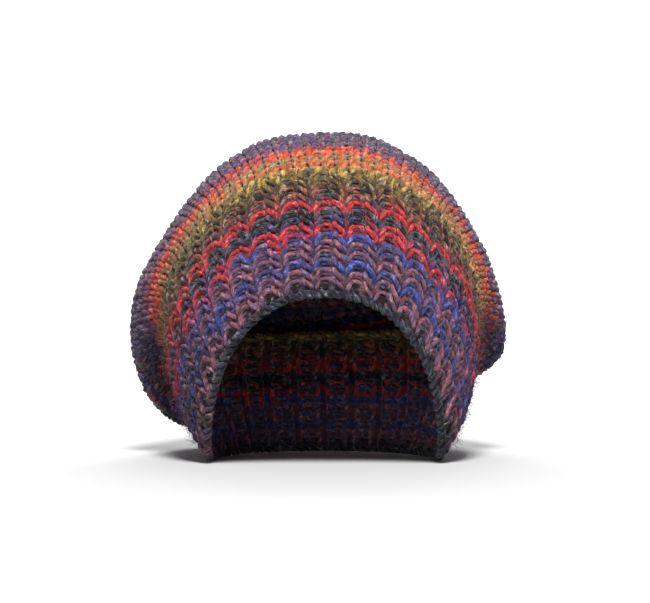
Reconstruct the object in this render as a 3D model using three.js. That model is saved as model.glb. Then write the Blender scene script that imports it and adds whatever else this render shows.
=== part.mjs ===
// Chunky hand-knitted wool beret: a rolled cast-on edge, a ribbed band and a slouching crown.
// Millimetres, +Z up. The hat's front faces -Y and +X is at the right of the front view.
// The origin is on the ground under the middle of the hat, which stands on the flattened
// back and sides of its rim while the front of the rim arches up.
import * as THREE from 'three';

// Driving dimensions
const RIBS = 34;                    // knit-one purl-one ribs round the band
const WALL = 5.8;                   // thickness of the knitted fabric
const RIB_RELIEF = 1.3;             // how far a rib stands in or out of the band's middle surface
const BAND_COURSES = 14.5;          // knitted rows in the band
const TOTAL_COURSES = 48;           // knitted rows from the rim to the drawn-up tip
const BAND_START = 1.6;             // first course whose loops follow the wall and not the edge
const PIECE_GAP = 0.3;              // clearance between one piece and the next
const EDGE_WIDTH = 5.2;             // rolled cast-on edge, across
const EDGE_HEIGHT = 4.6;            // rolled cast-on edge, along the wall
const EDGE_SIDES = 8;
const SHIFT = new THREE.Vector3(4.2, -29.3, 0);    // centres the finished hat over the origin

// How finely the pieces are faceted: all have the same steps round them, so that their seams match
const STEPS_ROUND = 3 * RIBS;
const BAND_STEPS = 7;
const CROWN_COURSES = [15.5, 16.7, 18, 19.7, 21.5, 23.3, 25, 26.8, 28.8, 31, 33.5, 36.5, 40, 44];

// Reach of the bend between the arched front and the level back of each course
const BEND_REACH = 0.25;
const BACK_SQUARENESS = 2.3;

// Gathers that draw the crown together at its tip
const GATHERS = 9;
const GATHER_DEPTH = 1.4;
const GATHER_START = 33;
const TIP_DIMPLE = 3;

// One row for each section of the hat, a closed loop through four points: the front, the
// right, the back (at x = 0) and the left. Squareness is the superellipse power of its front.
const SECTION_COLUMNS = ['course', 'frontX', 'frontY', 'frontZ', 'rightX', 'rightY', 'rightZ',
  'backY', 'backZ', 'leftX', 'leftY', 'leftZ', 'squareness'];
const SECTIONS = [
  [0, 0, -100, 111, 76, -22, 2.2, 78, 2.2, -77, -24, 2.2, 2.20],
  [4, 0, -103, 134, 89, -14, 23, 88, 26, -90, -16, 23, 2.20],
  [8, 0, -99, 155, 96, -5, 45, 95, 49, -99, -8, 43, 2.20],
  [12, -1, -87, 174, 100, 2, 69, 101, 70, -104, -1, 65, 2.15],
  [14.5, -2, -75, 185, 101, 7, 83, 105, 80, -105, 4, 78, 2.10],
  [16.5, -3, -65, 193, 103, 10, 92, 114, 80, -108, 8, 85, 2.00],
  [18.5, -4, -53, 200, 108, 16, 91, 120, 70, -116, 14, 84, 1.90],
  [21, -5, -38, 207, 117, 27, 85, 128, 55, -127, 24, 76, 1.85],
  [24, -6, -18, 213, 121, 43, 77, 140, 38, -131, 41, 67, 1.85],
  [27, -6, 2, 214, 117, 60, 78, 152, 32, -125, 58, 67, 1.85],
  [30, -5, 22, 211, 110, 78, 91, 162, 46, -116, 76, 82, 1.85],
  [34, -4, 47, 202, 93, 97, 112, 160, 71, -100, 96, 106, 1.95],
  [38, -3, 70, 190, 71, 109, 129, 152, 96, -77, 108, 126, 2.00],
  [43, -1, 93, 174, 41, 114, 143, 137, 124, -45, 114, 142, 2.00],
  [48, 0, 110, 156, 5, 112, 152, 117, 149, -6, 112, 152, 2.00],
];

// Local folds: a bell-shaped push centred on a course and a turn (0 front, 90 right, 180 back)
const FOLD_COLUMNS = ['course', 'turn', 'courseSpread', 'turnSpread', 'pushX', 'pushY', 'pushZ'];
const FOLDS = [
  [25.5, 242, 5.5, 34, 10, 0, -26],   // the bag's lower left hangs lowest
  [14.5, 118, 3, 26, -2, -1, 0],      // crease under the bag, right of the back
  [14.5, 242, 3, 26, 2, -1, 0],       // crease under the bag, left of the back
  [24, 32, 8, 16, 3, 0, 3.6],         // right shoulder of the bag's top
  [24, 16, 8, 9, 0, 0, 2.6],          // the bag's top is flat, right half
  [24, 330, 8, 13, -2.2, 0, 3],       // left shoulder of the bag's top
  [24, 344, 8, 9, 0, 0, 2.6],         // the bag's top is flat, left half
  [22, 286, 6, 14, -3.5, 0, 2],       // the bag's left side bulges over the band
  [33, 150, 5, 24, -4, -3, -4],       // soft dent in the back of the bag, right
  [38, 205, 5, 28, 0, -4, -5],        // soft dent in the back of the bag, left
];

// Tables as lists of objects with named fields
const named = (columns, rows) => rows.map(
  (row) => Object.fromEntries(columns.map((name, i) => [name, row[i]])));
const sections = named(SECTION_COLUMNS, SECTIONS);
const folds = named(FOLD_COLUMNS, FOLDS);

// Slope of one column at each section, so that the surface runs smoothly through the rows
function columnSlopes(name) {
  const rise = (i) => (sections[i + 1][name] - sections[i][name])
    / (sections[i + 1].course - sections[i].course);
  const last = sections.length - 1;
  const slopes = sections.map((section, i) => {
    if (i === 0 || i === last) return 0;
    const before = section.course - sections[i - 1].course;
    const after = sections[i + 1].course - section.course;
    return (rise(i - 1) * after + rise(i) * before) / (before + after);
  });
  slopes[0] = 1.5 * rise(0) - 0.5 * slopes[1];
  slopes[last] = 1.5 * rise(last - 1) - 0.5 * slopes[last - 1];
  return slopes;
}
const slopes = Object.fromEntries(SECTION_COLUMNS.map((name) => [name, columnSlopes(name)]));

// Smooth values of every column at any course
function sectionAt(course) {
  let i = 0;
  while (i < sections.length - 2 && course >= sections[i + 1].course) i += 1;
  const span = sections[i + 1].course - sections[i].course;
  const t = (course - sections[i].course) / span;
  const result = {};
  for (const name of SECTION_COLUMNS) {
    result[name] = (2 * t ** 3 - 3 * t ** 2 + 1) * sections[i][name]
      + (t ** 3 - 2 * t ** 2 + t) * span * slopes[name][i]
      + (3 * t ** 2 - 2 * t ** 3) * sections[i + 1][name]
      + (t ** 3 - t ** 2) * span * slopes[name][i + 1];
  }
  return result;
}

const signedPower = (value, power) => Math.sign(value) * Math.abs(value) ** power;

// Zero behind the bend, rising evenly before it, and a parabola between
function bentRamp(value) {
  if (value <= -BEND_REACH) return 0;
  if (value >= BEND_REACH) return value;
  return (value + BEND_REACH) ** 2 / (4 * BEND_REACH);
}

// A point of the fabric's middle surface; turn is in radians, 0 at the front, a quarter at the right
function pointAtTurn(section, turn) {
  const inFront = Math.cos(turn) > 0;
  const power = 2 / (inFront ? section.squareness : BACK_SQUARENESS);
  const along = signedPower(Math.cos(turn), power);
  const across = signedPower(Math.sin(turn), power);
  const middleX = (section.rightX + section.leftX) / 2;
  const middleY = (section.rightY + section.leftY) / 2;
  const middleZ = (section.rightZ + section.leftZ) / 2;
  const point = new THREE.Vector3(
    middleX + (section.rightX - section.leftX) / 2 * across
      + ((inFront ? section.frontX : 0) - middleX) * Math.abs(along),
    middleY + (section.rightY - section.leftY) / 2 * across
      + (inFront ? section.frontY - middleY : section.backY - middleY) * Math.abs(along),
    middleZ + (section.rightZ - section.leftZ) / 2 * across
      + (section.frontZ - middleZ) * bentRamp(along) + (section.backZ - middleZ) * bentRamp(-along));
  for (const fold of folds) {
    const degrees = THREE.MathUtils.radToDeg(turn);
    const apart = THREE.MathUtils.euclideanModulo(degrees - fold.turn + 180, 360) - 180;
    const weight = Math.exp(-(((section.course - fold.course) / fold.courseSpread) ** 2)
      - (apart / fold.turnSpread) ** 2);
    point.add(new THREE.Vector3(fold.pushX, fold.pushY, fold.pushZ).multiplyScalar(weight));
  }
  return point.add(SHIFT);
}

// A whole course: the middle surface's points at equal distances round it
const TURN_SAMPLES = 720;
function coursePoints(course) {
  const section = sectionAt(course);
  const loop = [];
  for (let k = 0; k <= TURN_SAMPLES; k += 1) {
    loop.push(pointAtTurn(section, 2 * Math.PI * k / TURN_SAMPLES));
  }
  const reached = [0];
  for (let k = 1; k <= TURN_SAMPLES; k += 1) {
    reached.push(reached[k - 1] + loop[k].distanceTo(loop[k - 1]));
  }
  const points = [];
  let k = 0;
  for (let j = 0; j < STEPS_ROUND; j += 1) {
    const target = reached[TURN_SAMPLES] * j / STEPS_ROUND;
    while (reached[k + 1] < target) k += 1;
    const t = (target - reached[k]) / (reached[k + 1] - reached[k]);
    points.push(loop[k].clone().lerp(loop[k + 1], t));
  }
  return points;
}

const neighbour = (points, j, step) => points[(j + step + points.length) % points.length];

// Outward normals of a course, from its neighbours round it and from the courses beside it
const COURSE_STEP = 0.1;
function courseNormals(course, points) {
  const below = coursePoints(Math.max(course - COURSE_STEP, 0));
  const above = coursePoints(Math.min(course + COURSE_STEP, TOTAL_COURSES));
  return points.map((_, j) => {
    const round = neighbour(points, j, 1).clone().sub(neighbour(points, j, -1));
    const up = above[j].clone().sub(below[j]);
    return round.cross(up).normalize();
  });
}

// The cast-on edge's own directions: level outwards, and up across the rolled edge
function rimFrames(points) {
  return points.map((_, j) => {
    const tangent = neighbour(points, j, 1).clone().sub(neighbour(points, j, -1)).normalize();
    const outward = new THREE.Vector3(tangent.y, -tangent.x, 0).normalize();
    return { outward, up: outward.clone().cross(tangent) };
  });
}

// Loops of points are joined into one closed solid; each loop has the same number of points
function solidFromLoops(loops, caps) {
  const count = loops[0].length;
  const positions = loops.flat();
  const triangles = [];
  const strips = caps.closed ? loops.length : loops.length - 1;
  for (let i = 0; i < strips; i += 1) {
    const next = (i + 1) % loops.length;
    for (let j = 0; j < count; j += 1) {
      const right = (j + 1) % count;
      const corners = [i * count + j, i * count + right, next * count + right, next * count + j];
      triangles.push(corners[0], corners[1], corners[2], corners[0], corners[2], corners[3]);
    }
  }
  if (!caps.closed) {
    const first = positions.length;
    positions.push(caps.start, caps.end);
    const lastLoop = (loops.length - 1) * count;
    for (let j = 0; j < count; j += 1) {
      const right = (j + 1) % count;
      triangles.push(first, right, j);
      triangles.push(first + 1, lastLoop + j, lastLoop + right);
    }
  }
  const geometry = new THREE.BufferGeometry();
  const coordinates = positions.flatMap((point) => point.toArray());
  geometry.setAttribute('position', new THREE.Float32BufferAttribute(coordinates, 3));
  geometry.setIndex(triangles);
  geometry.computeVertexNormals();
  return geometry;
}

// How far the middle surface moves outwards for the ribs or the gathers
const ribRelief = (course, share) => -RIB_RELIEF * Math.cos(2 * Math.PI * RIBS * share)
  * (1 - THREE.MathUtils.smoothstep(course, BAND_COURSES - 2, BAND_COURSES));
const gatherRelief = (course, share) => GATHER_DEPTH * Math.cos(2 * Math.PI * GATHERS * share)
  * THREE.MathUtils.smoothstep(course, GATHER_START, TOTAL_COURSES - 3);

// The two faces of the wall along one course
function wallLoops(course, relief) {
  const points = coursePoints(course);
  const normals = courseNormals(course, points);
  const face = (side) => points.map((point, j) => point.clone().addScaledVector(
    normals[j], relief(course, j / STEPS_ROUND) + side * WALL / 2));
  return { outer: face(1), inner: face(-1) };
}

// The gap between the band and the crown, counted in courses of their least height there
const COURSE_HEIGHT = 2.6;
const HALF_GAP = PIECE_GAP / COURSE_HEIGHT / 2;

// Rolled cast-on edge: an oval tube along the rim, flat where the hat stands on it
function castOnEdge() {
  const points = coursePoints(0);
  const frames = rimFrames(points);
  const loops = [];
  for (let side = 0; side < EDGE_SIDES; side += 1) {
    const angle = 2 * Math.PI * (side + 0.5) / EDGE_SIDES;
    const flare = 1 / Math.cos(Math.PI / EDGE_SIDES);
    loops.push(points.map((point, j) => {
      const corner = point.clone()
        .addScaledVector(frames[j].outward, flare * EDGE_WIDTH / 2 * Math.cos(angle))
        .addScaledVector(frames[j].up, flare * EDGE_HEIGHT / 2 * Math.sin(angle));
      corner.z = Math.max(corner.z, 0);
      return corner;
    }));
  }
  return solidFromLoops(loops, { closed: true });
}

// Ribbed band: its lowest loops sit on the cast-on edge, the rest follow the courses
function ribbedBand() {
  const rim = coursePoints(0);
  const frames = rimFrames(rim);
  const seat = (side) => rim.map((point, j) => point.clone()
    .addScaledVector(frames[j].up, EDGE_HEIGHT / 2 + PIECE_GAP)
    .addScaledVector(frames[j].outward, ribRelief(0, j / STEPS_ROUND) + side * WALL / 2));
  const outer = [seat(1)];
  const inner = [seat(-1)];
  const span = BAND_COURSES - HALF_GAP - BAND_START;
  for (let step = 0; step < BAND_STEPS; step += 1) {
    const wall = wallLoops(BAND_START + span * step / (BAND_STEPS - 1), ribRelief);
    outer.push(wall.outer);
    inner.push(wall.inner);
  }
  return solidFromLoops([...outer, ...inner.reverse()], { closed: true });
}

// Crown: the plain-knitted bag, from the band over its fold to the drawn-up tip
function crown() {
  const courses = [BAND_COURSES + HALF_GAP, ...CROWN_COURSES, TOTAL_COURSES];
  const walls = courses.map((course) => wallLoops(course, gatherRelief));
  const tip = (loop) => loop.reduce((sum, point) => sum.add(point), new THREE.Vector3())
    .divideScalar(loop.length);
  const last = walls[walls.length - 1];
  const inward = tip(last.inner).sub(tip(last.outer)).normalize();
  const outerTip = tip(last.outer).addScaledVector(inward, TIP_DIMPLE);
  const innerTip = tip(last.inner).addScaledVector(inward, TIP_DIMPLE);
  return solidFromLoops(
    [...walls.map((wall) => wall.inner).reverse(), ...walls.map((wall) => wall.outer)],
    { start: innerTip, end: outerTip });
}

// Wool yarns of the three pieces
const WOOL_ROUGHNESS = 0.95;
const wool = (color) => new THREE.MeshStandardMaterial({ color, roughness: WOOL_ROUGHNESS, metalness: 0 });
const PIECES = [
  { name: 'cast_on_edge', make: castOnEdge, yarn: wool(0x3c4250) },
  { name: 'ribbed_band', make: ribbedBand, yarn: wool(0x6a4a68) },
  { name: 'crown', make: crown, yarn: wool(0x8a5648) },
];

const beret = new THREE.Group();
for (const { name, make, yarn } of PIECES) {
  const mesh = new THREE.Mesh(make(), yarn);
  mesh.name = name;
  beret.add(mesh);
}

export default beret;
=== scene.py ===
"""Looks of a chunky hand-knitted wool beret: every row is one strand of marled yarn."""
import math

import bpy
import numpy as np
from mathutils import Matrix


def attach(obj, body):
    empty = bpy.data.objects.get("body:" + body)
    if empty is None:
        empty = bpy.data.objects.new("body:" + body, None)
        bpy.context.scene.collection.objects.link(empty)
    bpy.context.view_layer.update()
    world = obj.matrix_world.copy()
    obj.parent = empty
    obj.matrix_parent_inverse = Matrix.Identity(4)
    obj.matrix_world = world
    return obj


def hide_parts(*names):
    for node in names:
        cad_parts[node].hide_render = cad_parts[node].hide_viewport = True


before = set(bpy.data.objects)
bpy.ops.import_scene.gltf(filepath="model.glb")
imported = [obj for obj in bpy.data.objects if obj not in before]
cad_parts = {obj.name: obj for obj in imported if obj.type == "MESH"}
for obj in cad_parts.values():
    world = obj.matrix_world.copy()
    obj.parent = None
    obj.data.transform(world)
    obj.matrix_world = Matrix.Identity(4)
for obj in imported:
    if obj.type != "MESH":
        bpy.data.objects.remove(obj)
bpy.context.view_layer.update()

MM = 0.001
RANDOM = np.random.default_rng(11)

# The fabric's middle surface, in millimetres, as the CAD part has it: how each row of knitting
# runs round the hat, from the rim (0) to the tip (48)
RIBS = 34
BAND_COURSES = 14.5
TOTAL_COURSES = 48
SHIFT = (4.2, -29.3, 0)
BEND_REACH = 0.25
BACK_SQUARENESS = 2.3
SECTION_COLUMNS = ("course", "front_x", "front_y", "front_z", "right_x", "right_y", "right_z",
                   "back_y", "back_z", "left_x", "left_y", "left_z", "squareness")
SECTIONS = (
    (0, 0, -100, 111, 76, -22, 2.2, 78, 2.2, -77, -24, 2.2, 2.20),
    (4, 0, -103, 134, 89, -14, 23, 88, 26, -90, -16, 23, 2.20),
    (8, 0, -99, 155, 96, -5, 45, 95, 49, -99, -8, 43, 2.20),
    (12, -1, -87, 174, 100, 2, 69, 101, 70, -104, -1, 65, 2.15),
    (14.5, -2, -75, 185, 101, 7, 83, 105, 80, -105, 4, 78, 2.10),
    (16.5, -3, -65, 193, 103, 10, 92, 114, 80, -108, 8, 85, 2.00),
    (18.5, -4, -53, 200, 108, 16, 91, 120, 70, -116, 14, 84, 1.90),
    (21, -5, -38, 207, 117, 27, 85, 128, 55, -127, 24, 76, 1.85),
    (24, -6, -18, 213, 121, 43, 77, 140, 38, -131, 41, 67, 1.85),
    (27, -6, 2, 214, 117, 60, 78, 152, 32, -125, 58, 67, 1.85),
    (30, -5, 22, 211, 110, 78, 91, 162, 46, -116, 76, 82, 1.85),
    (34, -4, 47, 202, 93, 97, 112, 160, 71, -100, 96, 106, 1.95),
    (38, -3, 70, 190, 71, 109, 129, 152, 96, -77, 108, 126, 2.00),
    (43, -1, 93, 174, 41, 114, 143, 137, 124, -45, 114, 142, 2.00),
    (48, 0, 110, 156, 5, 112, 152, 117, 149, -6, 112, 152, 2.00),
)
FOLD_COLUMNS = ("course", "turn", "course_spread", "turn_spread", "push_x", "push_y", "push_z")
FOLDS = (
    (25.5, 242, 5.5, 34, 10, 0, -26),   # the bag's lower left hangs lowest
    (14.5, 118, 3, 26, -2, -1, 0),      # crease under the bag, right of the back
    (14.5, 242, 3, 26, 2, -1, 0),       # crease under the bag, left of the back
    (24, 32, 8, 16, 3, 0, 3.6),         # right shoulder of the bag's top
    (24, 16, 8, 9, 0, 0, 2.6),          # the bag's top is flat, right half
    (24, 330, 8, 13, -2.2, 0, 3),       # left shoulder of the bag's top
    (24, 344, 8, 9, 0, 0, 2.6),         # the bag's top is flat, left half
    (22, 286, 6, 14, -3.5, 0, 2),       # the bag's left side bulges over the band
    (33, 150, 5, 24, -4, -3, -4),       # soft dent in the back of the bag, right
    (38, 205, 5, 28, 0, -4, -5),        # soft dent in the back of the bag, left
)


def sections_at(courses):
    """Smooth values of every section column at the given courses."""
    table = np.array(SECTIONS, float)
    at = table[:, 0]
    span = np.diff(at)
    rise = np.diff(table, axis=0) / span[:, None]
    slope = np.empty_like(table)
    slope[1:-1] = ((rise[:-1] * span[1:, None] + rise[1:] * span[:-1, None])
                   / (span[:-1] + span[1:])[:, None])
    slope[0] = 1.5 * rise[0] - 0.5 * slope[1]
    slope[-1] = 1.5 * rise[-1] - 0.5 * slope[-2]
    i = np.clip(np.searchsorted(at, courses, side="right") - 1, 0, len(at) - 2)
    t = ((courses - at[i]) / span[i])[:, None]
    reach = span[i][:, None]
    values = ((2 * t ** 3 - 3 * t ** 2 + 1) * table[i]
              + (t ** 3 - 2 * t ** 2 + t) * reach * slope[i]
              + (3 * t ** 2 - 2 * t ** 3) * table[i + 1]
              + (t ** 3 - t ** 2) * reach * slope[i + 1])
    return dict(zip(SECTION_COLUMNS, values.T[:, :, None]))


def bent_ramp(value):
    """Zero behind the bend, rising evenly before it, and a parabola between."""
    bend = (value + BEND_REACH) ** 2 / (4 * BEND_REACH)
    return np.where(value <= -BEND_REACH, 0, np.where(value >= BEND_REACH, value, bend))


def signed_power(value, power):
    """The power of a value's size, with the value's sign."""
    return np.sign(value) * np.abs(value) ** power


TURN_SAMPLES = 720


def course_loops(courses):
    """Points at equal distances round each course, from the front centre towards the right."""
    turn = np.linspace(0, 2 * math.pi, TURN_SAMPLES + 1)[None, :]
    s = sections_at(courses)
    front = np.cos(turn) > 0
    power = 2 / np.where(front, s["squareness"], BACK_SQUARENESS)
    along = signed_power(np.cos(turn), power)
    across = signed_power(np.sin(turn), power)
    middle = {axis: (s["right_" + axis] + s["left_" + axis]) / 2 for axis in "xyz"}
    half = {axis: (s["right_" + axis] - s["left_" + axis]) / 2 for axis in "xyz"}
    end_x = np.where(front, s["front_x"], 0) - middle["x"]
    end_y = np.where(front, s["front_y"] - middle["y"], s["back_y"] - middle["y"])
    x = middle["x"] + half["x"] * across + end_x * np.abs(along)
    y = middle["y"] + half["y"] * across + end_y * np.abs(along)
    z = (middle["z"] + half["z"] * across + (s["front_z"] - middle["z"]) * bent_ramp(along)
         + (s["back_z"] - middle["z"]) * bent_ramp(-along))
    loops = np.stack([x, y, z], axis=-1)
    for row in FOLDS:
        fold = dict(zip(FOLD_COLUMNS, row))
        apart = (np.degrees(turn) - fold["turn"] + 180) % 360 - 180
        weight = np.exp(-((s["course"] - fold["course"]) / fold["course_spread"]) ** 2
                        - (apart / fold["turn_spread"]) ** 2)
        loops += weight[..., None] * np.array([fold["push_x"], fold["push_y"], fold["push_z"]])
    loops += np.array(SHIFT)
    even = np.empty((len(courses), TURN_SAMPLES, 3))
    for i, loop in enumerate(loops):
        reached = np.concatenate([[0], np.cumsum(np.linalg.norm(np.diff(loop, axis=0), axis=1))])
        targets = reached[-1] * np.arange(TURN_SAMPLES) / TURN_SAMPLES
        for axis in range(3):
            even[i, :, axis] = np.interp(targets, reached, loop[:, axis])
    return even


GRID_PER_COURSE = 8
GRID = course_loops(np.arange(TOTAL_COURSES * GRID_PER_COURSE + 1) / GRID_PER_COURSE)
ROUND = np.roll(GRID, -1, axis=1) - np.roll(GRID, 1, axis=1)
UP = np.gradient(GRID, axis=0)
NORMALS = np.cross(ROUND, UP)
NORMALS /= np.linalg.norm(NORMALS, axis=-1, keepdims=True)


def between(grid, courses, shares):
    """Values of a grid over the surface; courses a little outside it run on straight."""
    down = np.asarray(courses) * GRID_PER_COURSE
    i = np.clip(np.floor(down).astype(int), 0, len(grid) - 2)
    right = np.asarray(shares) % 1 * TURN_SAMPLES
    j = np.floor(right).astype(int) % TURN_SAMPLES
    k = (j + 1) % TURN_SAMPLES
    a = (down - i)[..., None]
    b = (right - np.floor(right))[..., None]
    return ((1 - a) * ((1 - b) * grid[i, j] + b * grid[i, k])
            + a * ((1 - b) * grid[i + 1, j] + b * grid[i + 1, k]))


def on_surface(courses, shares, offsets):
    """Points off the middle surface by the given millimetres outwards, in metres."""
    points = between(GRID, courses, shares)
    normals = between(NORMALS, courses, shares)
    normals /= np.linalg.norm(normals, axis=-1, keepdims=True)
    return (points + normals * np.asarray(offsets)[..., None]) * MM


# Dyes: the two plies of the self-striping yarn, row by row from the rim
DYES = {
    "charcoal": "3c4454", "slate": "545c66", "ink": "1c1d26", "rose": "a4626c", "mauve": "7a567a",
    "blue": "4058b4", "navy": "262a54", "violet": "54487e", "red": "d8333a", "wine": "742c38",
    "black": "1e1e20", "rust": "9c5840", "brown": "544038", "olive": "84693a", "moss": "44452c",
    "gold": "c8a24a", "amber": "c0703e", "orange": "e86e38", "sage": "8e8a60", "tomato": "e64a26",
    "plum": "74405c", "tan": "6c5a60",
}
CHART = (
    ("ink", "charcoal"), ("rose", "mauve"), ("mauve", "rose"), ("blue", "violet"), ("rose", "mauve"),
    ("rose", "violet"), ("blue", "violet"), ("red", "red"), ("ink", "violet"), ("ink", "slate"),
    ("red", "red"), ("charcoal", "rust"), ("black", "rust"), ("brown", "olive"), ("moss", "olive"),
    ("olive", "gold"), ("orange", "amber"), ("sage", "amber"), ("tomato", "orange"),
    ("tomato", "plum"), ("mauve", "plum"), ("tan", "violet"), ("tan", "plum"), ("navy", "violet"),
    ("mauve", "charcoal"), ("rose", "charcoal"), ("charcoal", "brown"), ("rose", "ink"),
    ("wine", "charcoal"), ("red", "wine"), ("black", "red"), ("rust", "brown"), ("olive", "moss"),
    ("olive", "gold"), ("orange", "amber"), ("sage", "olive"), ("tomato", "orange"),
    ("violet", "plum"), ("blue", "navy"), ("mauve", "rose"), ("charcoal", "slate"),
    ("wine", "rose"), ("charcoal", "ink"), ("red", "wine"), ("olive", "brown"), ("gold", "olive"),
    ("orange", "tomato"), ("sage", "moss"), ("violet", "blue"),
)
# Where another dye strays into some rows, and where moss and ink lay painted shade: their middle row
# and share round, and how far it goes
STRAY_AND_SHADE_COLUMNS = ("row", "row_spread", "share", "share_spread", "dye_and_shade", "strength")
STRAYS_AND_SHADES = (
    # moss here is painted shade in the crease under the bag's left side
    (15.0, 1.5, 0.79, 0.09, "moss", 0.8),
    (18.2, 1.1, 0.81, 0.06, "tomato", 0.65),
    (19.2, 1.8, 0.725, 0.05, "navy", 0.8),
    (18.6, 1.5, 0.285, 0.055, "navy", 0.85),
    # ink here is painted shade over the band's left side
    (2.5, 4.5, 0.78, 0.07, "ink", 0.5),
)
DYE_DEPTH = 0.5             # the dyed wool is darker than its pure dye
DYE_DRIFT = 0.5             # rows by which the stripes come later or earlier at the sides
DYE_CHANGE = (0.35, 0.65)   # where, between two rows, one dye turns into the next
LAST_PLACE = len(CHART) - 1.001    # just before the chart's last row


def smoothstep(value, low, high):
    """An eased rise from 0 at the low value to 1 at the high one."""
    t = np.clip((value - low) / (high - low), 0, 1)
    return t * t * (3 - 2 * t)


def linear(code):
    """Linear colour of a six-digit sRGB code."""
    parts = np.array([int(code[i:i + 2], 16) / 255 for i in (0, 2, 4)])
    return np.where(parts <= 0.04045, parts / 12.92, ((parts + 0.055) / 1.055) ** 2.4)


PLIES = DYE_DEPTH * np.array([[linear(DYES[name]) for name in pair] for pair in CHART])


def dye_at(row, shares, early=0.0):
    """Both plies' colours: the rows' stripes lie earlier on the left than on the right."""
    drift = -DYE_DRIFT * np.sin(2 * math.pi * np.asarray(shares))
    place = np.clip(row + drift + early, 0, LAST_PLACE)
    first = np.floor(place).astype(int)
    mix = smoothstep(place - first, *DYE_CHANGE)[..., None, None]
    plies = (1 - mix) * PLIES[first] + mix * PLIES[first + 1]
    # Other dyes stray in; the moss and ink entries lay painted shade
    for values in STRAYS_AND_SHADES:
        stray_and_shade = dict(zip(STRAY_AND_SHADE_COLUMNS, values))
        apart = (np.asarray(shares) - stray_and_shade["share"] + 0.5) % 1 - 0.5
        weight = stray_and_shade["strength"] * np.exp(-((row - stray_and_shade["row"]) / stray_and_shade["row_spread"]) ** 2
                                            - (apart / stray_and_shade["share_spread"]) ** 2)[..., None, None]
        plies = (1 - weight) * plies + weight * DYE_DEPTH * linear(DYES[stray_and_shade["dye_and_shade"]])
    return plies


# Stitches: yarn radii and reliefs in millimetres
BAND_YARN = 1.48
CROWN_YARN = 2.15
RIB_RELIEF = 0.5
RIB_FADE = 2                # rows over which the ribs' relief ends below the crown
POINTS_PER_STITCH = 14
CURVE_STEPS = 24            # between two points of a stitch table, before the path is evened
# Rows from the given one on have this many stitches
STITCH_COUNTS = ((1, 68), (15, 81), (33, 72), (35, 63), (37, 54), (39, 45), (41, 36), (43, 27),
                 (45, 18), (46, 9))
# One purl and one knit stitch of the rib: stitches across from the purl's middle, rows up,
# and yarn radii outwards. The knit stitch leans, with a long left leg and a steep right one.
RIB_PATH = (
    (0.00, 0.58, 1.1),      # top of the purl stitch
    (0.34, 0.50, 0.9),
    (0.32, 0.02, -0.9),     # its right leg, behind
    (0.46, -0.70, -0.6),
    (0.82, -0.86, -0.2),
    (1.18, -0.60, -0.4),    # foot of the knit stitch
    (0.96, -0.10, 1.1),     # its left leg, in front
    (0.58, 0.48, 0.9),
    (0.72, 0.96, -0.8),     # its top, behind
    (1.24, 0.98, -1.0),
    (1.62, 0.66, 0.0),
    (1.60, 0.18, 1.0),      # its right leg, in front
    (1.48, -0.42, 0.8),
    (1.46, -0.78, -0.4),
    (1.58, -0.80, -0.6),
    (1.72, -0.26, -0.9),    # left leg of the next purl stitch, behind
    (1.66, 0.34, 0.6),
)
# A plain knit stitch: both legs in front, foot and top behind
PLAIN_PATH = (
    (0.00, -0.86, -0.7),    # foot
    (0.32, -0.62, -0.4),
    (0.37, -0.20, 0.6),     # left leg
    (0.19, 0.42, 0.7),
    (0.24, 0.80, -0.3),
    (0.50, 0.90, -0.7),     # top
    (0.76, 0.80, -0.3),
    (0.81, 0.42, 0.7),      # right leg
    (0.63, -0.20, 0.6),
    (0.68, -0.62, -0.4),
)
STITCH_SIZE = (8.8, 5.6, 1.8)   # a stitch's width, its height and the yarn's radius

# Hand knitting is uneven: how far each thing strays by chance
UNEVEN_HEIGHT = 0.05        # of a stitch's height
UNEVEN_PLACE = 0.04         # stitches along the row
UNEVEN_ROW = 0.05           # rows
ROW_WAVES = (1, 2, 3, 5, 8)     # long waves of a row, by their number round the hat
ROW_WAVE = 0.06             # rows, in the longest wave
UNEVEN_LIFT = 0.25          # millimetres outwards
FINE_LIFT = 0.12            # the same, at three places to a stitch
UNEVEN_YARN = 0.1           # millimetres of the yarn's radius
FINE_YARN = 0.17            # the same, at four places to a stitch
UNEVEN_DYE = 0.22           # rows of the chart
LONG_DYE = 0.15             # the same, over stretches of yarn
STRETCH = 6                 # stitches in such a stretch

# Row 1 hangs over the rolled edge, where its loops still have the cast-on yarn's dye
CAST_ON_REACH = (0.1, 0.6)  # rows below the row's middle, where this starts and is complete
CAST_ON_LIFT = 0.9          # yarn radii outwards
CAST_ON_DYE = 0.9           # rows of the chart
ROW_TWIST = 0.37            # metres by which the twist of each row's yarn starts later


def even_path(table, width):
    """A closed smooth path through a stitch table, read at equal steps along the yarn."""
    table = np.array(table)
    count = len(table)
    step = np.array([width, 0, 0])
    around = np.concatenate([table[-1:] - step, table, table[:2] + step])
    t = np.linspace(0, 1, CURVE_STEPS, endpoint=False)[:, None]
    curves = [0.5 * (2 * b + (c - a) * t + (2 * a - 5 * b + 4 * c - d) * t ** 2
                     + (3 * b - a - 3 * c + d) * t ** 3)
              for a, b, c, d in zip(around[:count], around[1:], around[2:], around[3:])]
    dense = np.concatenate(curves + [table[:1] + step])
    lengths = np.linalg.norm(np.diff(dense * STITCH_SIZE, axis=0), axis=1)
    run = np.concatenate([[0], np.cumsum(lengths)])
    targets = run[-1] * np.arange(width * POINTS_PER_STITCH) / (width * POINTS_PER_STITCH)
    return np.stack([np.interp(targets, run, dense[:, axis]) for axis in range(3)], axis=1)


RIB_WAVE = even_path(RIB_PATH, 2)
PLAIN_WAVE = even_path(PLAIN_PATH, 1)


def stitches_in(row):
    """How many stitches a row has."""
    return [count for first, count in STITCH_COUNTS if first <= row][-1]


def rib_relief(courses, shares):
    """Knit columns stand out and purl columns lie back, until the band ends."""
    return (-RIB_RELIEF * np.cos(2 * math.pi * RIBS * np.asarray(shares))
            * (1 - smoothstep(courses, BAND_COURSES - RIB_FADE, BAND_COURSES)))


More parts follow.
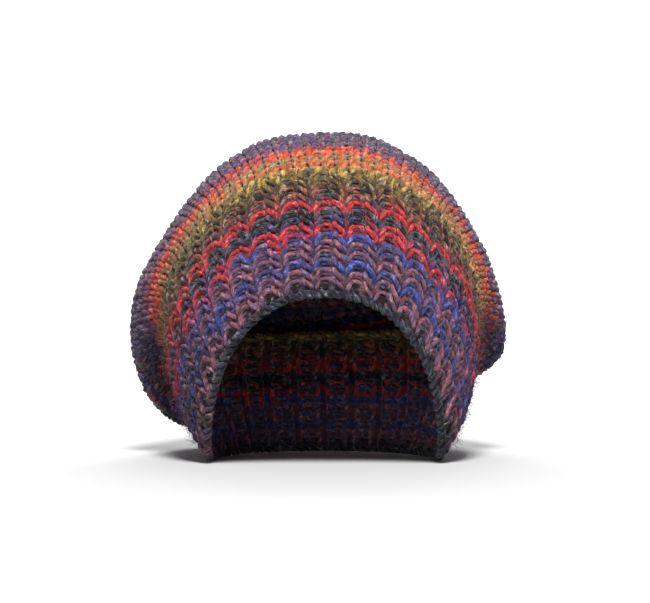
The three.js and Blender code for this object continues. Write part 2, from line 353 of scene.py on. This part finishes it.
def wander(count, size, phase):
    """Smooth random values, read between whole phases round the closed row."""
    values = RANDOM.normal(0, size, count)
    first = np.floor(phase).astype(int)
    mix = smoothstep(phase - first, 0, 1)
    return (1 - mix) * values[first % count] + mix * values[(first + 1) % count]


def strand(points, radii, twist, plies):
    """A closed strand: its points, thickness, length run since its twist began, and its dyes."""
    step = np.linalg.norm(np.roll(points, -1, axis=0) - points, axis=1)
    return {"points": points, "thick": radii * MM, "run": np.cumsum(step) + twist,
            "ply_a": plies[:, 0], "ply_b": plies[:, 1]}


def knitted_row(row):
    """One row of the rib or of the plain crown, as uneven as hand knitting is."""
    count = stitches_in(row)
    ribbed = row < BAND_COURSES
    wave = RIB_WAVE if ribbed else PLAIN_WAVE
    width = 2 if ribbed else 1
    yarn = BAND_YARN if ribbed else CROWN_YARN
    repeats = count // width
    across = (np.arange(repeats)[:, None] * width + wave[None, :, 0]).ravel()
    rows_up = np.tile(wave[:, 1], repeats)
    outwards = np.tile(wave[:, 2], repeats)
    beads = np.arange(count * POINTS_PER_STITCH) / POINTS_PER_STITCH
    rows_up = rows_up * (1 + wander(count, UNEVEN_HEIGHT, across))
    cast_on = smoothstep(-rows_up, *CAST_ON_REACH) if row == 1 else 0
    outwards = outwards + CAST_ON_LIFT * cast_on
    shares = (across + wander(count, UNEVEN_PLACE, across)) / count
    waves = sum(RANDOM.normal(0, ROW_WAVE / k)
                * np.sin(2 * math.pi * k * shares + RANDOM.uniform(0, 2 * math.pi))
                for k in ROW_WAVES)
    courses = row + rows_up + waves + wander(count, UNEVEN_ROW, across)
    lift = rib_relief(courses, shares) + yarn * outwards
    lift = lift + wander(count, UNEVEN_LIFT, across) + wander(3 * count, FINE_LIFT, 3 * beads)
    radii = yarn + wander(count, UNEVEN_YARN, across) + wander(4 * count, FINE_YARN, 4 * beads)
    stretches = count // STRETCH
    early = (wander(count, UNEVEN_DYE, across)
             + wander(stretches, LONG_DYE, across / STRETCH % stretches))
    return strand(on_surface(courses, shares, lift), radii, row * ROW_TWIST,
                  dye_at(row, shares, early - CAST_ON_DYE * cast_on))


# The level bars between the purl stitches
BAR_POINTS_PER_RIB = 8
BAR_RISE = (0.02, 0.1)      # rows above the row's middle, and how much more at a purl column
BAR_LIFT = (-0.6, 1.1)      # yarn radii outwards, and how much more at a purl column
BAR_YARN = 0.85             # of the band's yarn, because it is stretched
BAR_TWIST = 0.61
UNEVEN_BAR_PLACE = 0.02     # ribs along the row
UNEVEN_BAR_DYE = 0.2
FINE_BAR_RISE = 0.05
FINE_BAR_YARN = 0.12


def purl_bar(row):
    """The yarn that shows as a level bar under every purl stitch, and runs behind the knit ones."""
    t = np.arange(RIBS * BAR_POINTS_PER_RIB) / BAR_POINTS_PER_RIB
    shares = (t + wander(RIBS, UNEVEN_BAR_PLACE, t)) / RIBS
    bulge = np.cos(2 * math.pi * t)
    rise, more_rise = BAR_RISE
    courses = row + rise + more_rise * bulge + wander(2 * RIBS, FINE_BAR_RISE, 2 * t)
    out, more_out = BAR_LIFT
    lift = rib_relief(courses, shares) + BAND_YARN * (more_out * bulge + out)
    early = wander(RIBS, UNEVEN_BAR_DYE, t)
    radii = BAR_YARN * BAND_YARN + wander(2 * RIBS, FINE_BAR_YARN, 2 * t)
    # The darker of this row's and the row below's dyes, channel by channel: painted shade on the
    # bars
    bar_shade_plies = np.minimum(dye_at(row, shares, early), dye_at(row, shares, early - 1))
    return strand(on_surface(courses, shares, lift), radii, row * BAR_TWIST, bar_shade_plies)


# The rolled edge: two strands laid round each other, three turns to every two ribs
ROPE_TURNS = 3 * RIBS // 2
ROPE_POINTS_PER_TURN = 14
ROPE_COIL = 1.4             # millimetres from the rope's middle to a strand's
ROPE_YARN = 1.65
UNEVEN_ROPE_YARN = 0.15
ROPE_CLEARANCE = 0.1        # millimetres between the rope and the floor


def rope_strand(start):
    """One of the two strands twisted together along the cast-on edge."""
    t = np.arange(ROPE_TURNS * ROPE_POINTS_PER_TURN) / ROPE_POINTS_PER_TURN
    shares = t / ROPE_TURNS
    rim = between(GRID, np.zeros_like(t), shares)
    tangent = between(ROUND, np.zeros_like(t), shares)
    tangent /= np.linalg.norm(tangent, axis=-1, keepdims=True)
    outward = np.stack([tangent[:, 1], -tangent[:, 0], np.zeros_like(t)], axis=-1)
    outward /= np.linalg.norm(outward, axis=-1, keepdims=True)
    up = np.cross(outward, tangent)
    angle = 2 * math.pi * (start - t)
    centre = rim + ROPE_COIL * (np.cos(angle)[:, None] * outward + np.sin(angle)[:, None] * up)
    radii = ROPE_YARN + wander(ROPE_TURNS, UNEVEN_ROPE_YARN, t)
    centre[:, 2] = np.maximum(centre[:, 2], radii + ROPE_CLEARANCE)
    return strand(centre * MM, radii, start, dye_at(0, shares))


# Meshes
def scene_object(name, data):
    """An object of the given mesh, light or camera, in the scene."""
    made = bpy.data.objects.new(name, data)
    bpy.context.scene.collection.objects.link(made)
    return made


def dyed_mesh(name, points, edges, faces, values):
    """A mesh that carries the given values on its points."""
    mesh = bpy.data.meshes.new(name)
    mesh.from_pydata(points.tolist(), edges, faces)
    for key, data in values.items():
        vector = data.ndim == 2
        layer = mesh.attributes.new(key, "FLOAT_VECTOR" if vector else "FLOAT", "POINT")
        layer.data.foreach_set("vector" if vector else "value", data.astype(np.float32).ravel())
    return mesh


def strand_paths(name, strands):
    """Closed polylines of edges, with the strands' values on their points."""
    edges = []
    first = 0
    for one in strands:
        count = len(one["points"])
        ring = np.arange(count)
        edges.append(first + np.stack([ring, (ring + 1) % count], axis=1))
        first += count
    values = {key: np.concatenate([one[key] for one in strands]) for key in strands[0]}
    points = values.pop("points")
    return scene_object(name, dyed_mesh(name, points, np.concatenate(edges).tolist(), [], values))


def fabric_rings(courses, columns, offset):
    """Rings of points round the hat, one for each course, and their plies' colours."""
    shares = np.arange(columns) / columns
    rings = [on_surface(np.full(columns, course), shares, offset + rib_relief(course, shares))
             for course in courses]
    plies = [dye_at(min(round(course), TOTAL_COURSES - 1), shares) for course in courses]
    return np.concatenate(rings), np.concatenate(plies)


def faces_between(pairs, columns):
    """Four-sided faces between pairs of rings, which are given by their numbers."""
    ring = np.arange(columns)
    right = (ring + 1) % columns
    faces = [np.stack([low * columns + ring, low * columns + right,
                       high * columns + right, high * columns + ring], axis=1)
             for low, high in pairs]
    return np.concatenate(faces).tolist()


def fabric_sheet(name, courses, columns, offsets, dye_and_shade):
    """A closed thin sheet of the fabric between two distances from its middle surface, its rows'
    dyes darkened by the given factor as painted shade.
    """
    outside, outside_plies = fabric_rings(courses, columns, offsets[0])
    inside, inside_plies = fabric_rings(courses[::-1], columns, offsets[1])
    points = np.concatenate([outside, inside])
    plies = np.concatenate([outside_plies, inside_plies]) * dye_and_shade
    rings = len(courses)
    faces = faces_between([(i, (i + 1) % (2 * rings)) for i in range(2 * rings) if i != rings - 1],
                          columns)
    tips = []
    for low, inward in (((rings - 1) * columns, False), (rings * columns, True)):
        middle = len(points) + len(tips)
        tips.append(points[low:low + columns].mean(axis=0))
        for j in range(columns):
            here, beside = low + j, low + (j + 1) % columns
            faces.append([middle, beside, here] if inward else [middle, here, beside])
    points = np.concatenate([points, tips])
    plies = np.concatenate([plies, plies[-2:]])
    mesh = dyed_mesh(name, points, [], faces, {"ply_a": plies[:, 0], "ply_b": plies[:, 1]})
    mesh.shade_smooth()
    return scene_object(name, mesh)


def fabric_cover(name, courses, columns, offset):
    """An open sheet over the fabric's outside that carries the rows' dyes."""
    points, plies = fabric_rings(courses, columns, offset)
    faces = faces_between([(i, i + 1) for i in range(len(courses) - 1)], columns)
    values = {"ply_a": plies[:, 0], "ply_b": plies[:, 1]}
    return scene_object(name, dyed_mesh(name, points, [], faces, values))


# Node trees
def new_tree(name, inputs):
    """An empty geometry tree with its named inputs."""
    tree = bpy.data.node_groups.new(name, "GeometryNodeTree")
    tree.interface.new_socket("Geometry", in_out="INPUT", socket_type="NodeSocketGeometry")
    tree.interface.new_socket("Geometry", in_out="OUTPUT", socket_type="NodeSocketGeometry")
    for label, kind in inputs:
        tree.interface.new_socket(label, in_out="INPUT", socket_type="NodeSocket" + kind)
    return tree


def add_node(tree, kind, settings=None, **links):
    """A node with its settings, then its inputs: a socket links, anything else is a value."""
    node = tree.nodes.new(kind)
    for key, value in (settings or {}).items():
        setattr(node, key, value)
    for key, value in links.items():
        target = node.inputs[key.replace("_", " ")]
        if isinstance(value, bpy.types.NodeSocket):
            tree.links.new(value, target)
        else:
            target.default_value = value
    return node


def finish_tree(tree, geometry, material):
    """The tree's end: smooth, real faces of the given material."""
    smooth = add_node(tree, "GeometryNodeSetShadeSmooth", Geometry=geometry)
    real = add_node(tree, "GeometryNodeRealizeInstances", Geometry=smooth.outputs[0])
    coloured = add_node(tree, "GeometryNodeSetMaterial", Geometry=real.outputs[0], Material=material)
    end = tree.nodes.new("NodeGroupOutput")
    tree.links.new(coloured.outputs[0], end.inputs[0])


def yarn_tree():
    """Yarn of a given number of sides along every polyline, each point with its own thickness."""
    tree = new_tree("yarn_along_path", (("Sides", "Int"), ("Material", "Material")))
    start = tree.nodes.new("NodeGroupInput")
    curve = add_node(tree, "GeometryNodeMeshToCurve", Mesh=start.outputs["Geometry"])
    circle = add_node(tree, "GeometryNodeCurvePrimitiveCircle", Resolution=start.outputs["Sides"],
                      Radius=1.0)
    place = tree.nodes.new("GeometryNodeInputPosition")
    around = add_node(tree, "GeometryNodeStoreNamedAttribute",
                      {"data_type": "FLOAT_VECTOR", "domain": "POINT"},
                      Geometry=circle.outputs["Curve"], Name="around", Value=place.outputs[0])
    thick = add_node(tree, "GeometryNodeInputNamedAttribute", {"data_type": "FLOAT"}, Name="thick")
    tube = add_node(tree, "GeometryNodeCurveToMesh", Curve=curve.outputs[0],
                    Profile_Curve=around.outputs[0], Scale=thick.outputs["Attribute"])
    finish_tree(tree, tube.outputs[0], start.outputs["Material"])
    return tree


# A loose fibre, 1 long: where it stands, bends and ends, and how chance turns and sizes it
FUZZ_BEND = ((0, 0, 0), (0.2, 0, 0.7), (1.0, 0.1, 0.6))
FUZZ_SIDES = 3
FUZZ_TILT = 1.2             # radians to any side
FUZZ_SIZES = (0.35, 1.0)    # of the full length


def fuzz_tree():
    """Loose fibres on a surface: one bent fibre, turned and scaled at random on every point."""
    tree = new_tree("loose_fibres", (("Density", "Float"), ("Length", "Float"),
                                     ("Thickness", "Float"), ("Seed", "Int"),
                                     ("Material", "Material")))
    start = tree.nodes.new("NodeGroupInput")
    points = add_node(tree, "GeometryNodeDistributePointsOnFaces", Mesh=start.outputs["Geometry"],
                      Density=start.outputs["Density"], Seed=start.outputs["Seed"])
    base, middle, tip = FUZZ_BEND
    line = add_node(tree, "GeometryNodeCurveQuadraticBezier", Resolution=2, Start=base,
                    Middle=middle, End=tip)
    thin = add_node(tree, "GeometryNodeCurvePrimitiveCircle", Resolution=FUZZ_SIDES,
                    Radius=start.outputs["Thickness"])
    fibre = add_node(tree, "GeometryNodeCurveToMesh", Curve=line.outputs[0],
                     Profile_Curve=thin.outputs["Curve"], Fill_Caps=True)
    tilt = add_node(tree, "FunctionNodeRandomValue", {"data_type": "FLOAT_VECTOR"})
    tilt.inputs[0].default_value = (-FUZZ_TILT, -FUZZ_TILT, 0)
    tilt.inputs[1].default_value = (FUZZ_TILT, FUZZ_TILT, 2 * math.pi)
    spin = add_node(tree, "FunctionNodeEulerToRotation", Euler=tilt.outputs[0])
    turned = add_node(tree, "FunctionNodeRotateRotation", {"rotation_space": "LOCAL"},
                      Rotation=points.outputs["Rotation"], Rotate_By=spin.outputs[0])
    size = add_node(tree, "FunctionNodeRandomValue", {"data_type": "FLOAT"})
    size.inputs[2].default_value, size.inputs[3].default_value = FUZZ_SIZES
    scale = add_node(tree, "ShaderNodeMath", {"operation": "MULTIPLY"})
    tree.links.new(size.outputs[1], scale.inputs[0])
    tree.links.new(start.outputs["Length"], scale.inputs[1])
    placed = add_node(tree, "GeometryNodeInstanceOnPoints", Points=points.outputs["Points"],
                      Instance=fibre.outputs[0], Rotation=turned.outputs[0], Scale=scale.outputs[0])
    finish_tree(tree, placed.outputs[0], start.outputs["Material"])
    return tree


def run_tree(source, tree, values, name):
    """The tree's result on the source as a plain mesh object; the source goes."""
    modifier = source.modifiers.new("tree", "NODES")
    modifier.node_group = tree
    for item in tree.interface.items_tree:
        if item.item_type == "SOCKET" and item.in_out == "INPUT" and item.name in values:
            modifier[item.identifier] = values[item.name]
    graph = bpy.context.evaluated_depsgraph_get()
    graph.update()
    mesh = bpy.data.meshes.new_from_object(source.evaluated_get(graph))
    source.modifiers.remove(modifier)
    bpy.data.objects.remove(source)
    return scene_object(name, mesh)


# Materials
class Value:
    """A shader socket that takes part in plain arithmetic."""

    def __init__(self, tree, socket=None):
        self.tree = tree
        self.socket = socket

    def node(self, kind, settings=None, inputs=None, output=0):
        """Any node: its settings first, then socket values or links; gives one of its outputs."""
        made = self.tree.nodes.new(kind)
        for key, value in (settings or {}).items():
            setattr(made, key, value)
        for key, value in (inputs or {}).items():
            if isinstance(value, Value):
                self.tree.links.new(value.socket, made.inputs[key])
            else:
                made.inputs[key].default_value = value
        return Value(self.tree, made.outputs[output])

    def math(self, operation, *values):
        return self.node("ShaderNodeMath", {"operation": operation}, dict(enumerate(values)))

    def __add__(self, other):
        return self.math("ADD", self, other)

    def __sub__(self, other):
        return self.math("SUBTRACT", self, other)

    def __mul__(self, other):
        return self.math("MULTIPLY", self, other)

    def __radd__(self, other):
        return self.math("ADD", other, self)

    def __rsub__(self, other):
        return self.math("SUBTRACT", other, self)

    def __rmul__(self, other):
        return self.math("MULTIPLY", other, self)

    def attribute(self, name, output):
        return self.node("ShaderNodeAttribute", {"attribute_name": name}, output=output)

    def part(self, axis):
        return self.node("ShaderNodeSeparateXYZ", inputs={0: self}, output=axis)

    def joined(self, x, y, z):
        return self.node("ShaderNodeCombineXYZ", inputs={0: x, 1: y, 2: z})

    def noise(self, scale, detail, vector):
        return self.node("ShaderNodeTexNoise", output="Fac",
                         inputs={"Scale": scale, "Detail": detail, "Vector": vector})

    def ramp(self, low, high, new_low=0.0, new_high=1.0):
        """The value's range from low to high, eased, as a new range."""
        return self.node("ShaderNodeMapRange", {"interpolation_type": "SMOOTHSTEP"},
                         {0: self, 1: low, 2: high, 3: new_low, 4: new_high})

    def mix(self, first, second):
        """Colour between two others, by this value."""
        return self.node("ShaderNodeMix", {"data_type": "RGBA"}, {0: self, 6: first, 7: second},
                         output=2)

    def scaled(self, factor):
        return self.node("ShaderNodeVectorMath", {"operation": "SCALE"}, {0: self, "Scale": factor})


TWIST_PITCH = 0.012         # metres of yarn for one turn of its two plies
DRIFT_SCALE = 75.0          # noise over the hat that moves the line between the plies
DRIFT_REACH = 3.0           # how far it moves the line, in strand radii
FIBRE_SCALE = (1.8, 400.0)  # noise round the strand and along it, which draws fibres
FIBRE_REACH = 2.4           # how far the fibres fray the line
PATCH_SCALE = 260.0         # noise that makes the yarn lighter and darker in patches
PLY_EDGE = 0.35             # half the width of the soft line between the plies
# Painted shade: the colour darkens in the groove between the two plies, over this width and down to
# this tone
GROOVE_SHADE_WIDTH = 0.45
GROOVE_SHADE = 0.6
NOISE_SPAN = (0.3, 0.7)     # where a noise's values lie, nearly all
FIBRE_TONES = (0.5, 1.58)
PATCH_TONES = (0.7, 1.33)
# Pale flecks: partly light fibres in the yarn, partly a painted highlight of shining fibres
FLECK_AND_SHINE = (0.4, 0.36, 0.37, 1.0)
FLECK_AND_SHINE_SPAN = (0.55, 0.66)
FLECK_AND_SHINE_MOST = 0.4
RELIEF = 0.0006             # metres
RELIEF_STRENGTH = 0.9
FIBRE_RELIEF, RIDGE_RELIEF, PATCH_RELIEF = 0.8, 0.8, 0.5
WOOL_FINISH = {"Roughness": 0.95, "Specular IOR Level": 0.05, "Sheen Weight": 0.15,
               "Sheen Roughness": 0.6}


def wool(name, glow, alpha=1.0):
    """Marled two-ply wool: plies twisted round the strand, with pale flecks that are partly painted
    highlight, painted shade in the groove between the plies, fibres and a soft sheen.
    """
    material = bpy.data.materials.new(name)
    material.use_nodes = True
    tree = material.node_tree
    shader = tree.nodes["Principled BSDF"]
    v = Value(tree)
    around = v.attribute("around", "Vector")
    run = v.attribute("run", "Fac")
    place = v.node("ShaderNodeTexCoord", output="Object")
    angle = run * (2 * math.pi / TWIST_PITCH)
    cosine = v.math("COSINE", angle)
    sine = v.math("SINE", angle)
    ply = around.part(0) * cosine + around.part(1) * sine
    groove = around.part(1) * cosine - around.part(0) * sine
    ridge = v.math("ABSOLUTE", ply)
    drift = v.noise(DRIFT_SCALE, 2.0, place)
    patches = v.noise(PATCH_SCALE, 3.0, place)
    round_scale, run_scale = FIBRE_SCALE
    fibres = v.noise(1.0, 2.0, v.joined(ply * round_scale, groove * round_scale, run * run_scale))
    marl = ply + (drift - 0.5) * DRIFT_REACH + (fibres - 0.5) * FIBRE_REACH
    base = marl.ramp(-PLY_EDGE, PLY_EDGE).mix(v.attribute("ply_a", "Color"),
                                              v.attribute("ply_b", "Color"))
    # Random fibre and patch tones, times painted shade in the groove between the plies
    tone_and_groove_shade = (fibres.ramp(*NOISE_SPAN, *FIBRE_TONES) * patches.ramp(*NOISE_SPAN, *PATCH_TONES)
            * ridge.ramp(0.0, GROOVE_SHADE_WIDTH, GROOVE_SHADE, 1.0) * glow)
    # Pale flecks: partly light fibres, partly painted highlight
    fleck_and_shine = (fibres * 0.5 + patches * 0.5).ramp(*FLECK_AND_SHINE_SPAN, 0.0, FLECK_AND_SHINE_MOST)
    coloured = fleck_and_shine.mix(base.scaled(tone_and_groove_shade), FLECK_AND_SHINE)
    tree.links.new(coloured.socket, shader.inputs["Base Color"])
    height = fibres * FIBRE_RELIEF + ridge * RIDGE_RELIEF + patches * PATCH_RELIEF
    relief = v.node("ShaderNodeBump", inputs={"Strength": RELIEF_STRENGTH, "Distance": RELIEF,
                                              "Height": height})
    tree.links.new(relief.socket, shader.inputs["Normal"])
    shader.inputs["Alpha"].default_value = alpha
    for socket, value in WOOL_FINISH.items():
        shader.inputs[socket].default_value = value
    return material


# Pieces
YARN = yarn_tree()
YARN_SIDES = 6
EDGE_WOOL = wool("edge_wool", 0.9)
BAND_WOOL = wool("band_wool", 1.0)
CROWN_WOOL = wool("crown_wool", 1.0)
GROUND_WOOL = wool("ground_wool", 1.0)
FUZZ_WOOL = wool("fuzz_wool", 2.0, alpha=0.6)


def yarn_piece(name, strands, material, node):
    """A piece of knitting that takes the place of a solid."""
    piece = run_tree(strand_paths(name + "_path", strands), YARN,
                     {"Sides": YARN_SIDES, "Material": material}, name)
    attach(piece, "root")
    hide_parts(node)


BAND_ROWS = range(1, 15)
yarn_piece("rolled_edge", [rope_strand(0.0), rope_strand(0.5)], EDGE_WOOL,
           "cast_on_edge")
yarn_piece("rib_stitches", [knitted_row(row) for row in BAND_ROWS], BAND_WOOL,
           "ribbed_band")
yarn_piece("purl_bars", [purl_bar(row) for row in BAND_ROWS], BAND_WOOL,
           "ribbed_band")
for name, rows in (("crown_stitches_low", range(15, 24)),
                   ("crown_stitches_middle", range(24, 34)),
                   ("crown_stitches_top", range(34, 48))):
    yarn_piece(name, [knitted_row(row) for row in rows], CROWN_WOOL, "crown")

# A thin sheet behind the stitches keeps the light from showing through; its colour, the rows' dyes
# darkened, is painted shade in the gaps between the stitches
GROUND_COURSES = np.concatenate([np.linspace(0.3, BAND_COURSES, 22), np.linspace(15.2, 47.9, 38)])
GROUND_COLUMNS = 2 * stitches_in(1)
GROUND_OFFSETS = (0.4, -0.5)    # millimetres outwards
GROUND_SHADE = 0.75               # darker than the stitches, as painted shade between them
ground = fabric_sheet("fabric_ground", GROUND_COURSES, GROUND_COLUMNS, GROUND_OFFSETS, GROUND_SHADE)
ground.data.materials.append(GROUND_WOOL)
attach(ground, "root")
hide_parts("crown", "ribbed_band")

FUZZ = fuzz_tree()
FUZZ_LENGTH = 0.0065            # metres
FUZZ_THICKNESS = 0.018          # a fibre's radius, of its length
FUZZ_OFFSET = 2.4               # millimetres from the middle surface to where the fibres start
FUZZ_COLUMNS = 120
FUZZ_STEP = 0.5                 # rows
# The courses where the fuzz starts and ends, its fibres to the square metre and its seed
for name, node, slot, first, last, density, seed in (
        ("band_fuzz", "ribbed_band", "band_yarn", 1.6, 14.6, 185000.0, 5),
        ("crown_fuzz", "crown", "crown_yarn", 14.6, 47.6, 78000.0, 6)):
    cover = fabric_cover(name + "_cover", np.arange(first, last, FUZZ_STEP), FUZZ_COLUMNS,
                         FUZZ_OFFSET)
    fuzz = run_tree(cover, FUZZ, {"Density": density, "Length": FUZZ_LENGTH, "Seed": seed,
                                  "Thickness": FUZZ_THICKNESS, "Material": FUZZ_WOOL}, name)
    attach(fuzz, "root")
    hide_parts(node)

# Stage, lights and camera, in metres
FLOOR_FRONT = -2.6
FLOOR_BACK = 0.9
FLOOR_SIDE = 3.0
FLOOR_DROP = 0.0003             # keeps the floor just under the hat
BEND_RADIUS = 0.6
BEND_STEPS = 12
WALL_TOP = 3.0
PAPER = {"Base Color": (0.5, 0.5, 0.505, 1), "Roughness": 0.9, "Specular IOR Level": 0.1}


def sweep():
    """A pale floor that curves up into a backdrop."""
    profile = [(FLOOR_FRONT, 0.0), (FLOOR_BACK, 0.0)]
    for k in range(1, BEND_STEPS + 1):
        angle = math.pi / 2 * k / BEND_STEPS
        profile.append((FLOOR_BACK + BEND_RADIUS * math.sin(angle),
                        BEND_RADIUS * (1 - math.cos(angle))))
    profile.append((FLOOR_BACK + BEND_RADIUS, WALL_TOP))
    points = [(x, y, z - FLOOR_DROP) for y, z in profile for x in (-FLOOR_SIDE, FLOOR_SIDE)]
    faces = [(2 * i, 2 * i + 1, 2 * i + 3, 2 * i + 2) for i in range(len(profile) - 1)]
    mesh = bpy.data.meshes.new("sweep")
    mesh.from_pydata(points, [], faces)
    mesh.shade_smooth()
    material = bpy.data.materials.new("paper")
    material.use_nodes = True
    shader = material.node_tree.nodes["Principled BSDF"]
    for socket, value in PAPER.items():
        shader.inputs[socket].default_value = value
    mesh.materials.append(material)
    scene_object("sweep", mesh)


def area_light(name, place, target, size, power):
    """A round soft light that is turned to its target."""
    light = bpy.data.lights.new(name, "AREA")
    light.shape = "DISK"
    light.size = size
    light.energy = power
    made = scene_object(name, light)
    made.location = place
    aim = np.array(target) - np.array(place)
    horizontal = math.hypot(aim[0], aim[1])
    made.rotation_euler = (math.atan2(horizontal, -aim[2]), 0, math.atan2(-aim[0], aim[1]))


HAT_MIDDLE = (0.0, 0.0, 0.12)
WALL_MIDDLE = (0.0, 1.5, 0.2)
ROOM_LIGHT = 0.1
LENS = 108                      # millimetres, as is the sensor's width
SENSOR_WIDTH = 36
CAMERA_DISTANCE = 1.3
CAMERA_HEIGHT = 0.106

sweep()
area_light("key", place=(0.05, -1.55, 1.65), target=HAT_MIDDLE, size=0.5, power=95)
area_light("fill", place=(-0.6, -2.0, 0.5), target=HAT_MIDDLE, size=1.0, power=5)
area_light("wall_wash", place=(0.0, 0.75, 1.1), target=WALL_MIDDLE, size=1.0, power=34)

scene = bpy.context.scene
scene.world = bpy.data.worlds.new("room")
scene.world.use_nodes = True
background = scene.world.node_tree.nodes["Background"]
background.inputs["Color"].default_value = (1.0, 1.0, 1.0, 1)
background.inputs["Strength"].default_value = ROOM_LIGHT
scene.view_settings.view_transform = "Standard"

camera = bpy.data.cameras.new("camera")
camera.lens = LENS
camera.sensor_width = SENSOR_WIDTH
camera.sensor_fit = "HORIZONTAL"
view = scene_object("camera", camera)
view.location = (SHIFT[0] * MM, SHIFT[1] * MM - CAMERA_DISTANCE, CAMERA_HEIGHT)
view.rotation_euler = (math.pi / 2, 0, 0)
scene.camera = view
